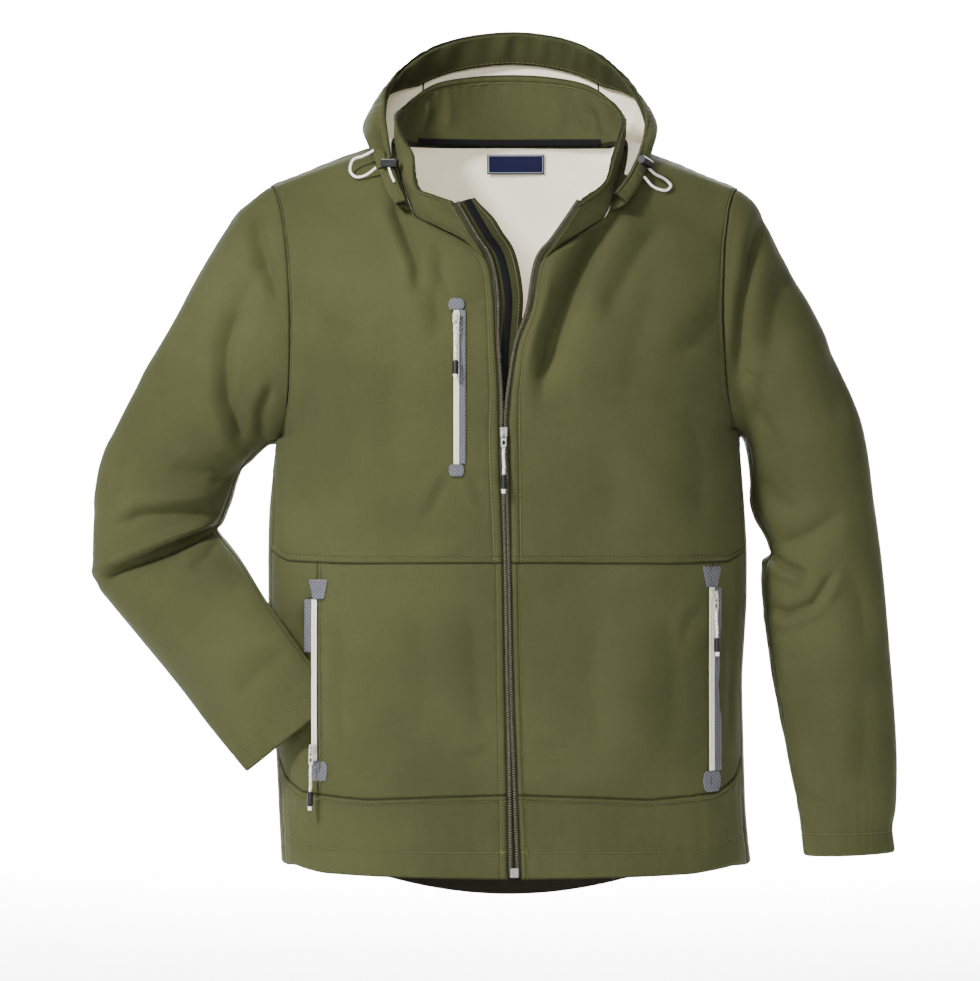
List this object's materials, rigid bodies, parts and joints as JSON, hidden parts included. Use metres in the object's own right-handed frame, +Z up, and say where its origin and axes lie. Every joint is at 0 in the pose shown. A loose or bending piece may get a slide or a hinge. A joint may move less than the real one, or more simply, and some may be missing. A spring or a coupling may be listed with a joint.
{
  "type": "hooded softshell jacket",
  "caption": "Long-sleeved zip jacket with a hood, stand collar, divided lower fronts with zip pockets, a chest zip pocket and a dropped back hem, filled out and hollow.",
  "frame": {"origin": "middle of the neck opening, level with the back neck seam, where the wearer's neck holds the jacket", "axes": "+X to the wearer's left, -Y towards the jacket's front, +Z up"},
  "size_m": [0.826, 0.337, 0.9173],
  "materials": {
    "olive_cloth": "plain weave softshell",
    "facing_cloth": "plain weave softshell",
    "mesh_cloth": "fine open mesh",
    "front_zip_tape": "woven tape",
    "pocket_zip": "fine coil zip",
    "zip_metal": "satin",
    "white_cord": "braided",
    "black_plastic": "matte",
    "black_tape": "woven tape",
    "navy_label": "woven, blank"
  },
  "bodies": {
    "jacket": {"upper_front_right": "olive_cloth", "upper_front_left": "olive_cloth", "lower_front_right": "olive_cloth", "lower_front_left": "olive_cloth", "lower_side_right": "olive_cloth", "lower_side_left": "olive_cloth", "hem_band_right": "olive_cloth", "hem_band_left": "olive_cloth", "back": "olive_cloth", "sleeve_right_top": "olive_cloth", "sleeve_right_under": "olive_cloth", "sleeve_left_top": "olive_cloth", "sleeve_left_under": "olive_cloth", "collar": "olive_cloth", "hood_centre": "olive_cloth", "hood_side_right": "olive_cloth", "hood_side_left": "olive_cloth", "toggle_base_right": "olive_cloth", "toggle_base_left": "olive_cloth", "collar_facing": "facing_cloth", "hood_rim_facing": "facing_cloth", "placket": "facing_cloth", "placket_tape": "black_tape", "neck_tape": "black_tape", "neck_label": "navy_label", "front_zip_right": "front_zip_tape", "front_zip_left": "front_zip_tape", "front_zip_box": "zip_metal", "hood_elastic_right": "white_cord", "hood_elastic_left": "white_cord", "hood_toggle_right": "black_plastic", "hood_toggle_left": "black_plastic", "front_zip_slider": "zip_metal", "chest_slider": "zip_metal", "hand_slider_left": "zip_metal", "hand_slider_right": "zip_metal", "chest_zip": "pocket_zip", "chest_mesh_top": "mesh_cloth", "chest_mesh_low": "mesh_cloth", "chest_mesh_strip": "mesh_cloth", "hand_zip_left": "pocket_zip", "hand_mesh_top_left": "mesh_cloth", "hand_mesh_low_left": "mesh_cloth", "hand_mesh_strip_left": "mesh_cloth", "hand_zip_right": "pocket_zip", "hand_mesh_top_right": "mesh_cloth", "hand_mesh_low_right": "mesh_cloth", "hand_mesh_strip_right": "mesh_cloth"},
    "front_zip_pull": {"front_zip_tab": "zip_metal", "front_zip_cord": "white_cord", "front_zip_grip": "black_plastic"},
    "chest_pull": {"chest_tab": "zip_metal", "chest_cord": "white_cord", "chest_grip": "black_plastic"},
    "hand_pull_left": {"hand_tab_left": "zip_metal", "hand_cord_left": "white_cord", "hand_grip_left": "black_plastic"},
    "hand_pull_right": {"hand_tab_right": "zip_metal", "hand_cord_right": "white_cord", "hand_grip_right": "black_plastic"}
  },
  "joints": [
    {"name": "front_zip_pull_hinge", "type": "hinge", "parent": "jacket", "child": "front_zip_pull", "pos_m": [-0.00651, -0.13745, -0.3122], "axis": [-1, 0.0036, 0], "range_deg": [0, 150]},
    {"name": "chest_pull_hinge", "type": "hinge", "parent": "jacket", "child": "chest_pull", "pos_m": [-0.05362, -0.1321, -0.1992], "axis": [-0.998, 0.0632, 0], "range_deg": [0, 150]},
    {"name": "hand_pull_left_hinge", "type": "hinge", "parent": "jacket", "child": "hand_pull_left", "pos_m": [0.20649, -0.08818, -0.4752], "axis": [-0.8034, -0.5954, 0], "range_deg": [0, 150]},
    {"name": "hand_pull_right_hinge", "type": "hinge", "parent": "jacket", "child": "hand_pull_right", "pos_m": [-0.19898, -0.09524, -0.6292], "axis": [-0.82, 0.5723, 0], "range_deg": [0, 150]}
  ]
}
